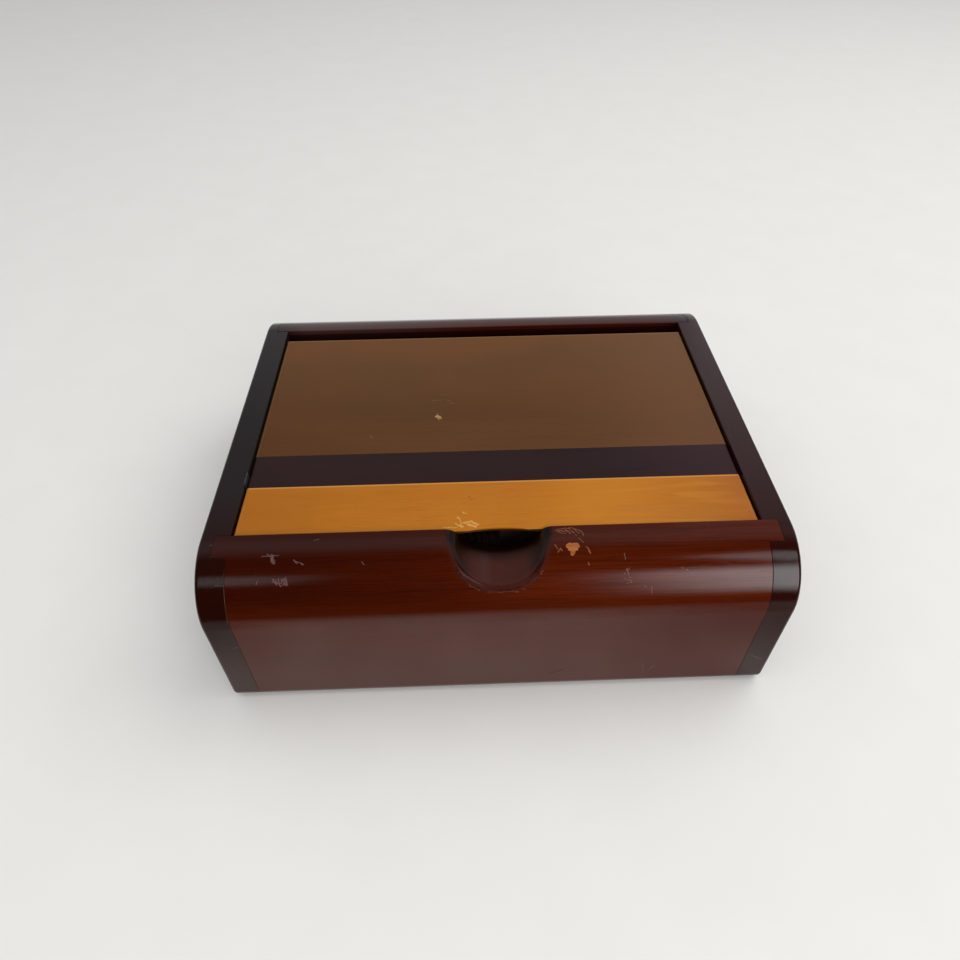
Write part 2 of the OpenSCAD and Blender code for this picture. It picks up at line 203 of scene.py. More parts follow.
class Finish(Nodes):
    """A material whose shader sockets take constants or values that vary."""

    # how many turns a metre a drawn line wavers, and how soft its edge is in mm
    WAVERS = 900
    SOFT_EDGE = 0.12

    def __init__(self, name, **constants):
        self.material = bpy.data.materials.new(name)
        self.material.use_nodes = True
        super().__init__(self.material.node_tree)
        self.shader = self.tree.nodes["Principled BSDF"]
        for socket, value in constants.items():
            self.shader.inputs[socket.replace("_", " ")].default_value = value
        self.place = self.add("ShaderNodeTexCoord", output="Object")
        # millimetres across, back and up
        self.x, self.y, self.z = (metres / MM for metres in self.axes(self.place))

    def feed(self, socket, value):
        self.tree.links.new(value.socket, self.shader.inputs[socket])

    def relief(self, height, depth):
        self.feed("Normal", self.add("ShaderNodeBump", {}, {"Height": height, "Distance": depth}))

    def drop(self):
        """How far a point lies down the rounded front, from the top, in mm."""
        return -self.y - self.z

    def strokes(self, across, along, marks, waver=0.3):
        """Mask of marks (across, along) to (across, along), each with its width, in mm."""
        spot = self.add("ShaderNodeCombineXYZ", {}, {"X": across, "Y": along})
        shake = self.noise(self.scaled(self.place, *(self.WAVERS,) * 3), output="Color")
        # the shake's middle is 0.5, so it moves a spot by up to twice the waver either way
        spot = shake.vector("MULTIPLY_ADD", (4 * waver,) * 3, spot).vector("MULTIPLY", (1, 1, 0))
        gap = None
        for x0, y0, x1, y1, width in marks:
            run = Vector((x1 - x0, y1 - y0, 0))
            reach = spot.vector("SUBTRACT", (x0 + 2 * waver, y0 + 2 * waver, 0))
            share = reach.vector("DOT_PRODUCT", run / run.length_squared, output="Value").clamped()
            ahead = self.add("ShaderNodeVectorMath", {"operation": "SCALE"},
                             {"Vector": -run, "Scale": share})
            off = ahead.vector("ADD", reach).vector("LENGTH", output="Value") - width / 2
            gap = off if gap is None else gap.least(off)
        return self.step(gap, self.SOFT_EDGE, -self.SOFT_EDGE)


# ---- woods ----

X, Y = 0, 1


class Wood(Finish):
    """Clear-lacquered wood: broad clouds, growth lines, fine fibres and dark pores."""

    # changes a metre, along the grain and across it
    CLOUDS = (7, 26)
    LINES = (7, 420)
    FIBRES = (70, 2600)
    PORES = (150, 3200)
    # where the pores' noise begins to open a pore, and where the pore is full
    PORE_EDGE = (0.58, 0.72)
    # how the surface stands, next to a pore's depth of 1
    FIBRE_HEIGHT = 0.25
    LINE_HEIGHT = 0.6
    CHIP_DEPTH = 6

    def __init__(self, name, grain, shift, dark, light, pore, clouds=0.5, lines=0.5,
                 fibres=0.4, pores=0.4, gloss=0.1):
        """Along the axis grain; shift picks another stretch of the same kind of figure."""
        super().__init__(name)
        self.grain = grain
        # each figure has a shift of its own, so that they don't line up
        cloud = self.noise(self.streak(*self.CLOUDS, shift), detail=3, distortion=0.3)
        self.line = self.noise(self.streak(*self.LINES, shift + 3), detail=4, rough=0.6)
        fibre = self.noise(self.streak(*self.FIBRES, shift + 7))
        dash = self.noise(self.streak(*self.PORES, shift + 11), detail=1)
        tone = (0.5 + (cloud - 0.5) * clouds * 2 + (self.line - 0.5) * lines * 2
                + (fibre - 0.5) * fibres * 2)
        pore_mask = self.step(dash, *self.PORE_EDGE) * pores
        self.colour = self.blend(pore_mask, self.blend(self.step(tone, 0, 1), dark, light), pore)
        self.gloss = gloss + (cloud - 0.5) * gloss * 0.5 + (fibre - 0.5) * gloss * 0.4
        self.height = (fibre * self.FIBRE_HEIGHT - pore_mask
                       + (self.line - 0.5) * self.LINE_HEIGHT)

    def streak(self, along, across, shift):
        """Object space drawn out along the grain; both numbers are per metre."""
        scale = [across, across, across]
        scale[self.grain] = along
        return self.scaled(self.place, *scale, shift=shift)

    def paint(self, where, colour, share=1):
        self.colour = self.blend(where * share, self.colour, colour)

    def dull(self, where, roughness):
        self.gloss = self.gloss * (1 - where) + where * roughness

    def sink(self, where, depth):
        self.height = self.height - where * depth

    def chip(self, where, dark, light, roughness, lines):
        """Lacquer off, with the bare wood's growth lines between a dark and a light colour."""
        self.paint(where, self.blend(self.step(self.line, *lines), dark, light))
        self.dull(where, roughness)
        self.sink(where, self.CHIP_DEPTH)

    def close(self, depth=0.02 * MM):
        self.feed("Base Color", self.colour)
        self.feed("Roughness", self.gloss)
        self.relief(self.height, depth)
        return self.material


# Colours are linear red, green and blue. Places are mm across, back and up on the box.

PANEL_OUTER_X, _, TOP_Z = (round(side / MM, 3) for side in cad_bounds[1])
NOTCH_DEPTH = 8.5
NOTCH_R = 19.5
NOTCH_AXIS_Z = TOP_Z - NOTCH_DEPTH + NOTCH_R


def red_wood(name, shift):
    return Wood(name, X, shift, dark=(0.068, 0.0075, 0.0010), light=(0.112, 0.0140, 0.0022),
                pore=(0.025, 0.002, 0.0005), clouds=0.75, lines=0.42, fibres=0.3, pores=0.35)


# (across, drop) to (across, drop), width, all in mm
CHIP_BY_NOTCH = [
    (23.2, 3.6, 25.4, 3.6, 2.5), (23.5, 4.8, 25.2, 4.9, 1.8), (24.1, 5.9, 24.0, 7.2, 1.5)]
ARC_SCRATCHES = [
    (19.6, -4.1, 24.5, -4.4, 0.36), (24.5, -4.4, 27.6, -2.9, 0.36), (27.6, -2.9, 28.3, -1.2, 0.36),
    (20.1, -2.8, 22.4, -1.9, 0.36), (22.6, -3.7, 23.9, -1.8, 0.36), (24.1, -3.6, 25.9, -1.2, 0.36),
    (18.4, 2.8, 19.2, 4.8, 0.3), (19.3, 6.4, 20.2, 4.7, 0.45), (20.2, 4.7, 20.6, 5.6, 0.3),
    (28.5, 4.2, 29.5, 5.1, 0.35), (29.4, 4.9, 30.0, 7.2, 0.45), (26.4, 0.3, 28.0, 2.0, 0.25),
    (28.9, 11.0, 29.1, 12.6, 0.3), (19.0, -3.4, 21.6, -3.3, 0.3), (21.4, -3.0, 23.4, -3.2, 0.3),
    (25.4, -3.6, 26.9, -2.0, 0.3)]
LEFT_SCUFFS = [
    (-78.2, 4.2, -72.8, 3.9, 0.3), (-74.8, 3.9, -74.3, 7.1, 1.0), (-76.6, 3.1, -75.4, 4.3, 0.35),
    (-67.7, 6.2, -64.4, 8.3, 0.35), (-67.2, 6.5, -66.5, 7.8, 0.35), (-79.7, 16.6, -79.0, 14.7, 0.4),
    (-74.3, 14.4, -73.0, 17.1, 0.55), (-73.0, 16.0, -71.4, 17.8, 0.55),
    (-71.3, 14.5, -70.8, 17.2, 0.5), (-70.0, 14.0, -69.6, 17.4, 0.55),
    (-73.4, 14.6, -72.9, 16.6, 0.45), (-72.4, 14.4, -72.0, 17.2, 0.5), (-70.7, 14.3, -70.2, 17.3, 0.45),
    (-74.6, 15.9, -69.5, 16.6, 0.35), (-45.4, 7.9, -44.7, 9.3, 0.3), (-61.5, -2.1, -60.2, -3.0, 0.3)]
FRONT_SCRATCHES = [
    (41.2, 7.7, 41.2, 10.5, 0.3), (41.4, 14.6, 42.5, 18.8, 0.35), (40.7, 19.2, 43.1, 20.7, 0.3),
    (41.6, 21.7, 43.3, 21.0, 0.3), (40.7, 17.1, 42.6, 14.3, 0.3), (60.3, 14.6, 64.1, 19.1, 0.3),
    (59.4, 14.8, 60.3, 15.5, 0.3), (49.6, 23.4, 50.0, 26.9, 0.3), (47.2, 22.8, 48.1, 23.7, 0.3),
    (52.4, 69.3, 53.7, 74.5, 0.3), (56.6, 69.6, 57.7, 72.2, 0.3), (55.4, 74.6, 56.9, 71.5, 0.25)]
# a dark line painted as shade along the foot of the notch's rolled rim, where the roll turns from the
# notch to the face
RIM_SHADE_LINE = [
    (-14.6, 12.0, -12.7, 16.4, 0.6), (-12.7, 16.4, -10.2, 19.5, 0.6), (-10.2, 19.5, -6.6, 21.7, 0.6),
    (-6.6, 21.7, -2.0, 22.8, 0.6), (-2.0, 22.8, 3.0, 22.8, 0.6), (3.0, 22.8, 7.0, 21.5, 0.6),
    (7.0, 21.5, 10.9, 18.4, 0.6), (10.9, 18.4, 13.3, 14.2, 0.5)]
RIM_NICKS = [
    (-13.6, 13.7, -11.6, 17.1, 0.35), (-10.3, 19.9, -9.7, 21.1, 0.5), (-9.7, 20.5, -7.0, 22.5, 0.35),
    (-4.3, 23.5, 0.4, 23.9, 0.3), (0.4, 23.6, 3.9, 23.6, 0.3), (3.9, 23.3, 5.6, 24.0, 0.5),
    (6.6, 22.6, 8.5, 23.1, 0.25), (13.2, 14.4, 13.5, 16.0, 0.4), (13.5, 14.9, 13.9, 14.4, 0.3)]
FRONT_DENTS = [(18.3, 74.4, 23.1, 71.8, 0.5)]
# marks, their colour, how much of the lacquer they cover, and how broken they are, from 0 to 1; the
# rim's dark line among them is painted shade, not a mark
FRONT_MARKS_AND_RIM_SHADE = [
    (RIM_NICKS, (0.15, 0.030, 0.009), 0.55, 0.40),
    (ARC_SCRATCHES, (0.23, 0.080, 0.03), 0.8, 0.36),
    (LEFT_SCUFFS, (0.18, 0.10, 0.095), 0.62, 0.38),
    (FRONT_SCRATCHES, (0.20, 0.11, 0.10), 0.5, 0.45),
    (RIM_SHADE_LINE, (0.010, 0.0015, 0.0010), 0.75, 0.3),
    (FRONT_DENTS, (0.006, 0.0015, 0.0012), 0.9, 0.2)]
WORN_ROUGHNESS = 0.5
NOTCH_ROUGHNESS = 0.15
FRONT_RELIEF = 0.012 * MM
BARE_RED_WOOD = (0.27, 0.066, 0.011), (0.40, 0.130, 0.028)
# painted shade for the front board: darker to the left, away from the light, and beside the lid
LEFT_PAINTED_SHADE_RED = (0.017, 0.0014, 0.0004)
PAINTED_SHADE_BY_LID = (0.017, 0.0020, 0.0006)
BROWN_RED = (0.046, 0.0060, 0.0008)
WARM_RED = (0.060, 0.0035, 0.0004)
EDGE_RED = (0.040, 0.0040, 0.0008)
BAND_RED = (0.022, 0.0022, 0.0006)
THREAD_RED = (0.024, 0.0024, 0.0006)


def shade_front(wood, drop):
    """Painted shade over the rounded front's left and along the top beside the lid, the red stain's
    browner stretches, and its bands and threads of grain.
    """
    rounded = wood.step(drop, 40, 22)
    to_left = wood.step(wood.x, 35, -80)
    to_right = wood.step(wood.x, 30, 75)
    beside_lid = wood.step(drop, 11, -3) * wood.step(wood.x, 85, 5)
    upper_edge = wood.step(drop, 12, 4)
    bands = wood.noise(wood.streak(9, 520, 41), detail=3, rough=0.6)
    threads = wood.noise(wood.streak(40, 2600, 47), detail=3, rough=0.6)
    # painted shade: the rounded front darkens to the left and along the top beside the lid
    wood.paint(to_left * rounded, LEFT_PAINTED_SHADE_RED, 0.76)
    wood.paint(beside_lid, PAINTED_SHADE_BY_LID, 0.42)
    wood.paint(1 - rounded, BROWN_RED, 0.6)
    wood.paint(to_right * (1 - rounded), WARM_RED, 0.5)
    wood.paint(upper_edge, EDGE_RED, 0.3)
    wood.paint(wood.step(bands, 0.47, 0.66) * rounded, BAND_RED, 0.2)
    wood.paint(wood.step(threads, 0.46, 0.62) * rounded, THREAD_RED, 0.42)


# the notch: its end grain's brown darkened by painted shade, then painted shade at its sides and under
# the lid
NOTCH_GRAIN_AND_SHADE_BROWN = (0.053, 0.0120, 0.0085)
NOTCH_SIDE_SHADE = (0.008, 0.0012, 0.0008)
NOTCH_DEEP_SHADE = (0.003, 0.0007, 0.0004)


def shade_notch(wood):
    """The notch: painted browner and darker than the face, partly the end grain's own tone and partly
    painted shade of the recess, with painted shade at its sides, darkest under the lid.
    """
    below_axis = wood.z - NOTCH_AXIS_Z
    off_axis = (wood.x * wood.x + below_axis * below_axis).root()
    scooped = wood.step(off_axis, NOTCH_R + 2.6, NOTCH_R + 0.4)
    inner_wall = wood.step(off_axis, NOTCH_R + 1.1, NOTCH_R + 0.3)
    in_notch = scooped * wood.step(wood.z, 50, 54) * wood.step(abs(wood.x), 19, 17.5)
    at_sides = wood.step(abs(wood.x), 8, 13)
    under_lid = wood.step(wood.y, -71, -64)
    # painted shade: the notch darkened as a recess, more at its sides and most under the lid
    wood.paint(in_notch, NOTCH_GRAIN_AND_SHADE_BROWN, 0.85)
    wood.paint(in_notch * inner_wall * at_sides, NOTCH_SIDE_SHADE, 0.8)
    wood.paint(in_notch * under_lid, NOTCH_DEEP_SHADE)
    return in_notch


def front_wood():
    wood = red_wood("front_board_wood", 9)
    drop = wood.drop()
    shade_front(wood, drop)
    in_notch = shade_notch(wood)
    # the marks stop short of the board's inner face
    outside = wood.step(wood.y, -61.8, -62.3)
    chip = wood.strokes(wood.x, drop, CHIP_BY_NOTCH, waver=0.35) * outside
    wood.chip(chip, *BARE_RED_WOOD, roughness=0.55, lines=(0.35, 0.6))
    crumbs = wood.noise(wood.scaled(wood.place, 1500, 700, 700))
    # the wear marks, and with them the rim's line of painted shade
    for marks, colour, share, broken in FRONT_MARKS_AND_RIM_SHADE:
        wear_and_rim_shade = (wood.strokes(wood.x, drop, marks) * outside
                * wood.step(crumbs, broken - 0.1, broken + 0.1))
        wood.paint(wear_and_rim_shade, colour, share)
        wood.dull(wear_and_rim_shade, WORN_ROUGHNESS)
    wood.dull(in_notch, NOTCH_ROUGHNESS)
    return wood.close(FRONT_RELIEF)


LEFT_SEAM_WEAR = [(-90.1, 12.0, -89.7, 19.4, 0.3), (-89.8, 19.4, -90.1, 29.0, 0.4),
                  (-90.1, 29.0, -90.4, 35.0, 0.4)]
PANEL_MARKS = [(91.0, 65.3, 97.0, 69.1, 0.3), (93.1, 66.9, 96.6, 69.9, 0.25),
               (-95.7, -1.3, -95.3, -1.8, 0.4), (-92.8, 16.7, -90.0, 16.9, 0.35),
               (-99.3, 46.9, -99.3, 49.0, 0.55), (-92.5, 50.2, -90.4, 49.6, 0.35)]
# (across, back) to (across, back), width, all in mm
RAIL_MARKS = [(-90.2, -37.0, -90.1, -31.5, 0.5), (-92.2, 67.0, -89.5, 68.3, 0.6)]

# a painted sheen: the grey of the pale wall mirrored in the rail tops
RAIL_PAINTED_SHEEN = (0.020, 0.0160, 0.0170)
RIGHT_PANEL_PAINTED_LIGHT = (0.030, 0.0045, 0.0042)
FRONT_PANEL_BROWN = (0.022, 0.0032, 0.0012)
FOOT_BROWN = (0.033, 0.0070, 0.0012)
WORN_EDGE = (0.09, 0.045, 0.03)
RAIL_SCUFF = (0.09, 0.07, 0.06)
PANEL_SCRATCH = (0.11, 0.07, 0.065)
WORN_SEAM = (0.10, 0.035, 0.015)


def panel_wood():
    wood = Wood("dark_panel_wood", Y, 0, dark=(0.0035, 0.0009, 0.0008),
                light=(0.0085, 0.0024, 0.0019), pore=(0.002, 0.0007, 0.0006),
                clouds=0.6, pores=0.3)
    drop = wood.drop()
    top_rail = wood.step(wood.y, -85, -40) * wood.step(wood.z, 50, 62)
    right_panel = wood.step(wood.x, -20, 60)
    front_part = wood.step(wood.y, -30, -75)
    left_foot = wood.step(wood.x, 0, -50) * wood.step(wood.z, 42, 20)
    # painted sheen: the rail tops take the grey of the wall mirrored in them
    wood.paint(top_rail, RAIL_PAINTED_SHEEN, 0.75)
    # painted light: the right end panel is lighter and redder than the left, as the light falls from
    # the right
    wood.paint(right_panel, RIGHT_PANEL_PAINTED_LIGHT, 0.75)
    wood.paint(front_part, FRONT_PANEL_BROWN, 0.7)
    wood.paint(left_foot, FOOT_BROWN, 0.7)
    top_edge = (wood.step(abs(wood.x), PANEL_OUTER_X - 1.4, PANEL_OUTER_X - 0.4)
                * wood.step(wood.z, TOP_Z - 1.6, TOP_Z - 0.4))
    patches = wood.step(wood.noise(wood.scaled(wood.place, 90, 60, 90), detail=3), 0.5, 0.7)
    wood.paint(top_edge * patches, WORN_EDGE, 0.35)
    wood.paint(wood.strokes(wood.x, wood.y, RAIL_MARKS), RAIL_SCUFF, 0.6)
    wood.paint(wood.strokes(wood.x, drop, PANEL_MARKS), PANEL_SCRATCH, 0.45)
    wood.paint(wood.strokes(wood.x, drop, LEFT_SEAM_WEAR, waver=0.2), WORN_SEAM, 0.4)
    return wood.close()


LID_ENDS = (88.0, 89.3)


def edge_highlights_and_wear(wood, rear_edge, end_share, rear_share=0.6):
    """A painted highlight along the eased edges, where the lacquer also thins, at a lid board's two
    ends and along its rear edge.
    """
    ends = wood.step(abs(wood.x), *LID_ENDS) * end_share
    return ends.most(wood.step(wood.y, *rear_edge) * rear_share)


# (across, back) to (across, back), width, all in mm
WALNUT_CHIPS = [(-21.2, -0.6, -20.1, -1.6, 1.2), (-20.9, 0.9, -20.5, -2.9, 0.6),
                (-21.9, -0.3, -19.6, -2.2, 0.5)]
WALNUT_SCRATCHES = [
    (-23.6, 9.7, -19.7, 9.5, 0.25), (-16.9, 9.4, -15.9, 8.9, 0.3), (-15.7, 7.8, -14.1, 7.1, 0.3),
    (-47.1, -11.5, -46.3, -12.2, 0.4), (-19.8, 13.6, -17.3, 12.8, 0.2)]

GOLDEN_WALNUT = (0.160, 0.0535, 0.0058)
OLIVE_WALNUT = (0.080, 0.0370, 0.0050)
WALNUT_RIGHT_PAINTED_LIGHT = (0.158, 0.0610, 0.0180)
WALNUT_EDGE_HIGHLIGHT = (0.28, 0.15, 0.060)
WALNUT_SIDES_SHADE = (0.030, 0.0090, 0.0020)
BARE_WALNUT = (0.22, 0.12, 0.03), (0.50, 0.31, 0.10)
SCRATCHED_WALNUT = (0.21, 0.115, 0.045)


def walnut_wood():
    wood = Wood("walnut_wood", X, 14, dark=(0.088, 0.0265, 0.0020), light=(0.118, 0.0395, 0.0038),
                pore=(0.05, 0.016, 0.002), clouds=0.85, lines=0.32, fibres=0.26, pores=0.35,
                gloss=0.36)
    to_rear = wood.step(wood.y, -15, 58)
    to_right = wood.step(wood.x, 25, 85)
    olive = wood.noise(wood.scaled(wood.place, 14, 18, 14, shift=2))
    below_top = wood.step(wood.z, 64.6, 63.6)
    wood.paint(to_rear, GOLDEN_WALNUT, 0.8)
    wood.paint(wood.step(olive, 0.50, 0.66), OLIVE_WALNUT, 0.35)
    # painted light: the lid's right end lighter and greyer, as light and the bright wall's sheen fall
    # from the right
    wood.paint(to_right, WALNUT_RIGHT_PAINTED_LIGHT, 0.55)
    # painted highlight along the walnut's eased ends and rear edge, where its lacquer is also worn
    wood.paint(edge_highlights_and_wear(wood, (54.2, 54.9), 0.45), WALNUT_EDGE_HIGHLIGHT)
    # painted shade on the board's sides and underside, below its top face, as in the gaps beside and
    # under the lid
    wood.paint(below_top, WALNUT_SIDES_SHADE, 0.7)
    chip = wood.strokes(wood.x, wood.y, WALNUT_CHIPS, waver=0.45)
    wood.chip(chip, *BARE_WALNUT, roughness=0.6, lines=(0.3, 0.65))
    wood.paint(wood.strokes(wood.x, wood.y, WALNUT_SCRATCHES), SCRATCHED_WALNUT, 0.75)
    return wood.close()


MAPLE_CHIPS = [
    (-14.4, -58.3, -12.5, -59.2, 0.7), (-13.0, -56.9, -12.3, -58.3, 0.4),
    (-10.4, -58.6, -7.6, -59.5, 0.9), (-14.0, -55.0, -12.9, -56.4, 0.25),
    (-13.3, -59.0, -11.6, -59.5, 0.8), (-11.5, -57.9, -8.8, -57.1, 0.8),
    (-8.9, -57.6, -6.5, -58.9, 0.7), (-18.6, -59.6, -13.9, -59.8, 0.3),
    (-12.0, -52.7, -10.8, -53.6, 0.3)]
MAPLE_DENTS = [(-9.9, -45.3, -9.3, -45.6, 0.5), (-9.2, -47.1, -8.6, -47.1, 0.4),
               (-49.9, -49.2, -49.3, -49.6, 0.3)]

BRIGHT_MAPLE = (0.64, 0.225, 0.0100)
DARK_FIGURE = (0.40, 0.13, 0.022)
LIGHT_FIGURE = (0.66, 0.25, 0.022)
LEFT_MAPLE = (0.385, 0.1200, 0.0010)
RIGHT_MAPLE = (0.365, 0.0920, 0.0080)
MAPLE_EDGE_HIGHLIGHT = (0.68, 0.31, 0.07)
BARE_MAPLE = (0.72, 0.38, 0.09)
DENTED_MAPLE = (0.22, 0.06, 0.006)
MAPLE_FRONT_EDGE_SHADE = (0.012, 0.0040, 0.0010)
DENT_DEPTH = 5
MAPLE_CHIP_DEPTH = 3


def maple_wood():
    wood = Wood("maple_wood", X, 20, dark=(0.420, 0.1270, 0.0012), light=(0.535, 0.1800, 0.0040),
                pore=(0.27, 0.07, 0.003), clouds=0.55, lines=0.22, fibres=0.25, pores=0.3,
                gloss=0.34)
    figure = wood.noise(wood.scaled(wood.place, 16, 190, 60, shift=5), distortion=1.2)
    to_right = wood.step(wood.x, 15, 70)
    right_of_notch = wood.step(abs(wood.x - 38), 34, 4)
    left_end = wood.step(wood.x, -50, -85)
    right_end = wood.step(wood.x, 67, 95)
    wood.paint(right_of_notch, BRIGHT_MAPLE, 0.5)
    wood.paint(wood.step(figure, 0.53, 0.66) * to_right, DARK_FIGURE, 0.4)
    wood.paint(wood.step(figure, 0.47, 0.36) * to_right, LIGHT_FIGURE, 0.3)
    wood.paint(left_end, LEFT_MAPLE, 0.45)
    wood.paint(right_end, RIGHT_MAPLE, 0.7)
    # painted highlight along the maple's eased ends and rear edge, where its lacquer is also worn
    wood.paint(edge_highlights_and_wear(wood, (-39.0, -38.6), 0.35), MAPLE_EDGE_HIGHLIGHT)
    chips = wood.strokes(wood.x, wood.y, MAPLE_CHIPS, waver=0.4)
    dents = wood.strokes(wood.x, wood.y, MAPLE_DENTS)
    shaded_front_edge = wood.step(wood.z, 65.3, 64.9) * wood.step(wood.y, -53, -56)
    wood.paint(chips, BARE_MAPLE, 0.8)
    wood.paint(dents, DENTED_MAPLE, 0.55)
    # painted shade: the maple's front edge face over the notch darkened, as in the shade under the
    # lid's lip
    wood.paint(shaded_front_edge, MAPLE_FRONT_EDGE_SHADE, 0.9)
    wood.dull(chips, WORN_ROUGHNESS)
    wood.sink(dents, DENT_DEPTH)
    wood.sink(chips, MAPLE_CHIP_DEPTH)
    return wood.close()


STRIP_PAINTED_SHEEN = (0.036, 0.0080, 0.0130)


def strip_wood():
    wood = Wood("dark_strip_wood", X, 5, dark=(0.014, 0.0028, 0.0030), light=(0.024, 0.0048, 0.0055),
                pore=(0.006, 0.0015, 0.0015), lines=0.4, fibres=0.3, pores=0.3, gloss=0.32)
    to_right = wood.step(wood.x, 25, 85)
    # painted sheen: the strip's right part tinted purple-grey, as by the bright wall mirrored there
    wood.paint(to_right, STRIP_PAINTED_SHEEN, 0.5)
    return wood.close()


REAR_TOP_RED = (0.044, 0.0062, 0.0036)
REAR_PAINTED_SHEEN = (0.062, 0.0320, 0.0300)
CORNER_RED = (0.014, 0.0030, 0.0026)
INNER_FACE_SHADE = (0.008, 0.0014, 0.0008)


def rear_wood():
    wood = red_wood("rear_board_wood", 12)
    top = wood.step(wood.z, 40, 62)
    inner_face = wood.step(wood.y, 62.1, 61.6) * wood.step(wood.z, 66, 64.5)
    to_left = wood.step(wood.x, 10, -75)
    corners = wood.step(abs(wood.x), 80, 95)
    wood.paint(top, REAR_TOP_RED, 0.85)
    # painted sheen: the left of the rear board's top takes a grey-pink sheen, as of the wall mirrored
    # in it
    wood.paint(to_left * top, REAR_PAINTED_SHEEN, 0.65)
    wood.paint(corners * top, CORNER_RED, 0.8)
    # painted shade: the rear board's inner face darkened, as in the gap behind the lid
    wood.paint(inner_face, INNER_FACE_SHADE, 0.8)
    return wood.close()


# a pore's colour next to its wood's darkest
PORE_SHADE = 0.6


def plain_wood(name, grain, shift, dark, light, gloss=0.6):
    pore = tuple(channel * PORE_SHADE for channel in dark)
    return Wood(name, grain, shift, dark, light, pore, gloss=gloss).close()


dark_panel = panel_wood()
dark_strip = strip_wood()
front_red = front_wood()
rear_red = rear_wood()
walnut = walnut_wood()
maple = maple_wood()
plywood = plain_wood("plywood", X, 25, (0.30, 0.19, 0.10), (0.46, 0.32, 0.18))
spline_wood = plain_wood("spline_wood", Y, 28, (0.36, 0.24, 0.13), (0.52, 0.37, 0.21))
# the bolt and hook wood is near black: a dark wood darkened further as painted shade, for the shade
# inside the notch where the bolt shows
bolt_wood = plain_wood("bolt_wood", X, 31, (0.0025, 0.0014, 0.0010), (0.008, 0.0045, 0.003), 0.5)

# ---- felt and brass ----

FELT_TONES = (0.045, 0.004, 0.008), (0.10, 0.012, 0.02)


def felt():
    finish = Finish("felt", Sheen_Weight=0.4, Sheen_Roughness=0.5)
    fuzz = finish.noise(finish.scaled(finish.place, 2600, 2600, 2600), detail=3)
    cloud = finish.noise(finish.scaled(finish.place, 60, 60, 60))
    tone = finish.step(fuzz * 0.7 + cloud * 0.3, 0.3, 0.7)
    finish.feed("Base Color", finish.blend(tone, *FELT_TONES))
    finish.feed("Roughness", 0.85 + fuzz * 0.1)
    finish.relief(fuzz, 0.3 * MM)
    return finish.material


def brass(name, clean, tarnished):
    finish = Finish(name, Metallic=1.0)
    scratch = finish.noise(finish.scaled(finish.place, 400, 4000, 4000))
    tarnish = finish.noise(finish.scaled(finish.place, 300, 300, 300), detail=3)
    finish.feed("Base Color", finish.blend(finish.step(tarnish, 0.35, 0.75), clean, tarnished))
    finish.feed("Roughness", 0.22 + scratch * 0.15 + tarnish * 0.1)
    finish.relief(scratch, 0.02 * MM)
    return finish.material


felt_cloth = felt()
brass_metal = brass("brass", (0.75, 0.53, 0.22), (0.42, 0.27, 0.10))
blackened_brass = brass("blackened_brass", (0.060, 0.042, 0.022), (0.030, 0.020, 0.012))

# ---- pieces ----

SAME_POINT = 0.002 * MM
FLAT = math.radians(0.2)
SHARP = math.radians(30)
OUTER_FACE_DEPTH = 0.05 * MM


def sharp_edges(shape):
    return [edge for edge in shape.edges
            if len(edge.link_faces) == 2 and edge.calc_face_angle(0) > SHARP]


def ease_edges(shape, edges, width, segments):
    if edges:
        bmesh.ops.bevel(shape, geom=edges, offset=width, offset_type="OFFSET", affect="EDGES",
                        segments=segments, profile=0.5, material=-1, clamp_overlap=True)


def eased_copy(node, ease, outer_ease):
    """A copy of a CAD node with its sharp edges eased, as sanded and lacquered wood has them."""
    shape = bmesh.new()
    shape.from_mesh(frame["nodes"][node].data)
    bmesh.ops.remove_doubles(shape, verts=shape.verts, dist=SAME_POINT)
    bmesh.ops.dissolve_limit(shape, angle_limit=FLAT, verts=shape.verts, edges=shape.edges)
    if outer_ease:
        outer_x = max(abs(vert.co.x) for vert in shape.verts) - OUTER_FACE_DEPTH
        outer = [edge for edge in sharp_edges(shape)
                 if all(abs(vert.co.x) > outer_x for vert in edge.verts)]
        ease_edges(shape, outer, outer_ease, segments=4)
    ease_edges(shape, sharp_edges(shape), ease, segments=3)
    for face in shape.faces:
        face.smooth = True
    mesh = bpy.data.meshes.new(node + "_eased")
    shape.to_mesh(mesh)
    shape.free()
    piece = bpy.data.objects.new(node + "_eased", mesh)
    bpy.context.scene.collection.objects.link(piece)
    flat = piece.modifiers.new("flat faces stay flat", "WEIGHTED_NORMAL")
    flat.keep_sharp = True
    return piece


BODY_OF = {node: body for body, nodes in frame["record"]["behaviour"]["bodies"].items()
           for node in nodes}


def dress(node, material, ease, outer_ease=0):
    piece = eased_copy(node, ease * MM, outer_ease * MM)
    piece.data.materials.append(material)
    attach(piece, BODY_OF[node])
    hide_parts(node)


# each node, its finish, and how far its sharp edges are eased, in mm
PIECE_FINISHES = (
    ("front_board", front_red, 0.25), ("rear_board", rear_red, 0.25), ("base_panel", plywood, 0.2),
    ("lid_walnut_board", walnut, 0.12), ("lid_dark_strip", dark_strip, 0.12),
    ("lid_maple_board", maple, 0.12),
    ("rear_lid_spline", spline_wood, 0.1), ("front_lid_spline", spline_wood, 0.1),
    ("lid_hook", bolt_wood, 0.3), ("lock_bolt", bolt_wood, 0.25),
    ("left_lining", felt_cloth, 0.5), ("right_lining", felt_cloth, 0.5),
    ("front_lining", felt_cloth, 0.5), ("rear_lining", felt_cloth, 0.5),
    ("base_felt", felt_cloth, 0.2), ("lid_pad", felt_cloth, 0.5),
    ("left_hinge_pin", blackened_brass, 0.2), ("right_hinge_pin", blackened_brass, 0.2),
    ("hinge_washers", blackened_brass, 0.05),
    ("bolt_screws", brass_metal, 0.3), ("hook_screws", brass_metal, 0.1))

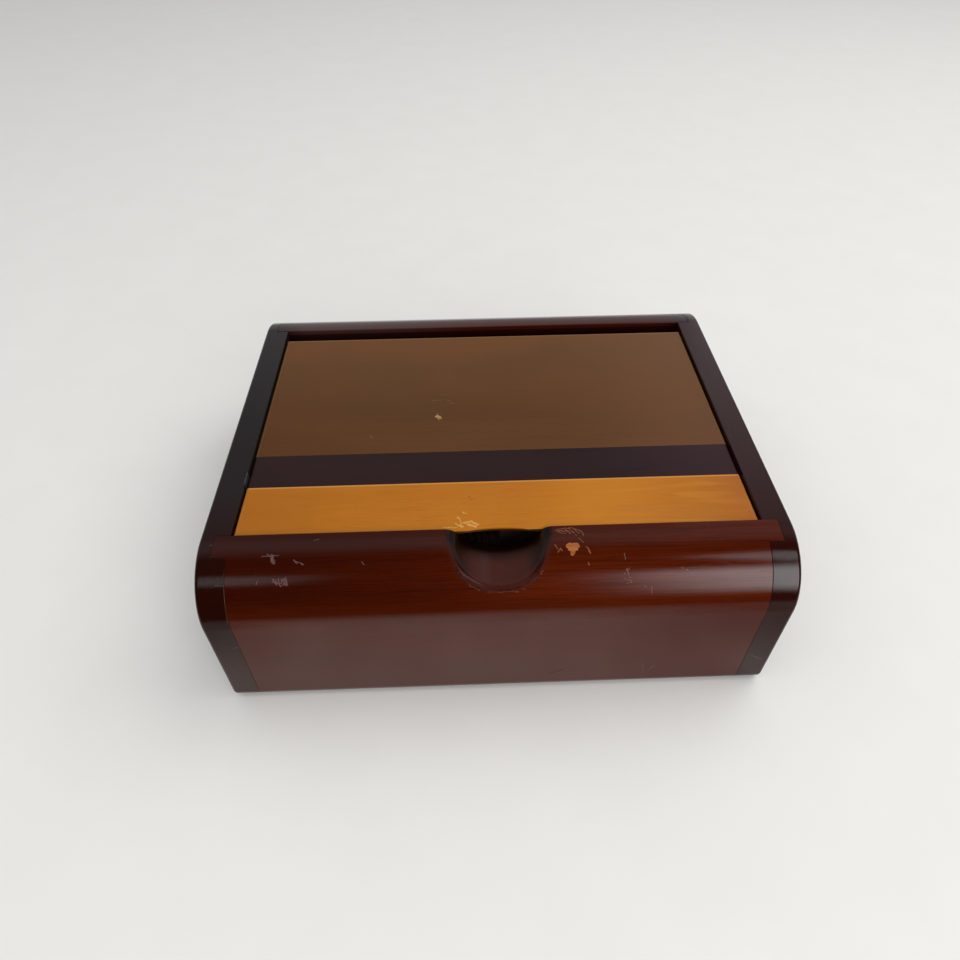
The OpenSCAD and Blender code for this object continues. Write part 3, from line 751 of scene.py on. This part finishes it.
# the end panels' outer edges are rounder than the rest
PANEL_EASE = 0.2
PANEL_OUTER_EASE = 1.5

for node in ("left_end_panel", "right_end_panel"):
    dress(node, dark_panel, PANEL_EASE, PANEL_OUTER_EASE)
for node, material, ease in PIECE_FINISHES:
    dress(node, material, ease)

# ---- stage and light ----

FLOOR_HALF = 2.5
FLOOR_TONES = (0.885, 0.874, 0.835), (0.925, 0.914, 0.875)
# mirrored in the lacquer, the floor fades out ahead of the box between these, in mm, as a table ends
TABLE_EDGE = (-118, -215)


def mirrored_gap(finish):
    """How far mirrors see through the floor: all past its edge, and less by the box, as painted shade
    of the cloth beside it, farther ahead and in soft patches like creases.
    """
    slant = finish.x.least(0) * 0.14
    past_edge = finish.step(finish.y + slant, *TABLE_EDGE)
    # painted shade: the floor's reflection thinned beside the box, most to its right, and farther
    # ahead, as on cloth lying in shade
    aside = finish.step(finish.x, 10, 130).most(finish.step(finish.x, -70, -125) * 0.9)
    ahead = finish.step(finish.y, -84, -114)
    creases = finish.noise(finish.scaled(finish.place, 22, 14, 22))
    return past_edge.most(aside * 0.4 + ahead * 0.3 + (creases - 0.5) * 0.5)


def add_floor():
    shape = bmesh.new()
    bmesh.ops.create_grid(shape, x_segments=1, y_segments=1, size=FLOOR_HALF)
    mesh = bpy.data.meshes.new("floor")
    shape.to_mesh(mesh)
    shape.free()
    floor = bpy.data.objects.new("floor", mesh)
    bpy.context.scene.collection.objects.link(floor)
    finish = Finish("floor", Roughness=0.9, Specular_IOR_Level=0.1)
    cloud = finish.noise(finish.scaled(finish.place, 30, 30, 30))
    finish.feed("Base Color", finish.blend(cloud, *FLOOR_TONES))
    gloss_ray = finish.add("ShaderNodeLightPath", output="Is Glossy Ray")
    surface = finish.add("ShaderNodeMixShader", {}, {
        0: gloss_ray * mirrored_gap(finish),
        1: Value(finish.tree, finish.shader.outputs["BSDF"]),
        2: finish.add("ShaderNodeBsdfTransparent")})
    finish.tree.links.new(surface.socket, finish.tree.nodes["Material Output"].inputs["Surface"])
    mesh.materials.append(finish.material)


# name, place and side in metres, power in watts
LAMPS = (
    ("key", (0.8, 0.25, 1.3), 1.2, 8),
    ("front fill", (0.4, -1.05, 0.6), 0.9, 5.5),
    ("left fill", (-0.6, -0.4, 1.4), 1.0, 2))
LAMP_AIM = Vector((0, 0, 0.03))


def add_lamp(name, place, side, power):
    """A soft lamp aimed at the box, which lights it but isn't mirrored in its lacquer."""
    lamp = bpy.data.objects.new(name, bpy.data.lights.new(name, "AREA"))
    lamp.data.shape = "SQUARE"
    lamp.data.size = side
    lamp.data.energy = power
    lamp.location = place
    lamp.rotation_euler = (LAMP_AIM - Vector(place)).to_track_quat("-Z", "Y").to_euler()
    lamp.visible_glossy = False
    bpy.context.scene.collection.objects.link(lamp)


# strength of each window in the mirrored room, then where its left, right, lower and upper edges
# begin and end to light up, in degrees around the box and above the floor
WINDOWS = (
    (3.85, (8, 28), (50, 40), (-8, 11), (47, 32)),
    (1.7, (33, 41), (60, 54), (43, 49), (64, 56)),
    (0.8, (-43, -33), (-14, -26), (32, 41), (55, 46)))
EVEN_LIGHT = 0.5
WORLD_WHITE = (0.97, 0.975, 1.0, 1)


def add_world():
    """Even light, and for glossy rays a dim room: pale rear wall, windows ahead of the box."""
    world = bpy.data.worlds.new("studio")
    bpy.context.scene.world = world
    world.use_nodes = True
    nodes = Nodes(world.node_tree)
    background = world.node_tree.nodes["Background"]
    camera_ray = nodes.add("ShaderNodeLightPath", output="Is Camera Ray")
    gloss_ray = nodes.add("ShaderNodeLightPath", output="Is Glossy Ray")
    clear_ray = nodes.add("ShaderNodeLightPath", output="Is Transmission Ray")
    across, back, up = nodes.axes(nodes.add("ShaderNodeTexCoord", output="Generated"))
    # degrees to the right of straight ahead of the box's front, and above the floor
    around = across.math("ARCTAN2", -back) * math.degrees(1)
    height = up.math("ARCSINE") * math.degrees(1)
    # the rear wall brightens, dims and brightens again as a ray turns back, most at its right
    right_rear = (nodes.step(back, 0.5, 0.75) * nodes.step(across, 0.27, 0.33)
                  * nodes.step(across, 0.6, 0.44))
    room = (nodes.step(back, -0.1, 0.3) * 0.28 - nodes.step(back, 0.4, 0.62) * 0.12
            + nodes.step(back, 0.68, 0.9) * 0.27 + right_rear * 0.33)
    for strength, left, right, low, high in WINDOWS:
        room = room + (nodes.step(around, *left) * nodes.step(around, *right)
                       * nodes.step(height, *low) * nodes.step(height, *high) * strength)
    light = camera_ray.most(clear_ray).most(gloss_ray * room + (1 - gloss_ray) * EVEN_LIGHT)
    world.node_tree.links.new(light.socket, background.inputs["Strength"])
    background.inputs["Color"].default_value = WORLD_WHITE


add_floor()
add_world()
for lamp in LAMPS:
    add_lamp(*lamp)

bpy.context.scene.view_settings.view_transform = "Standard"
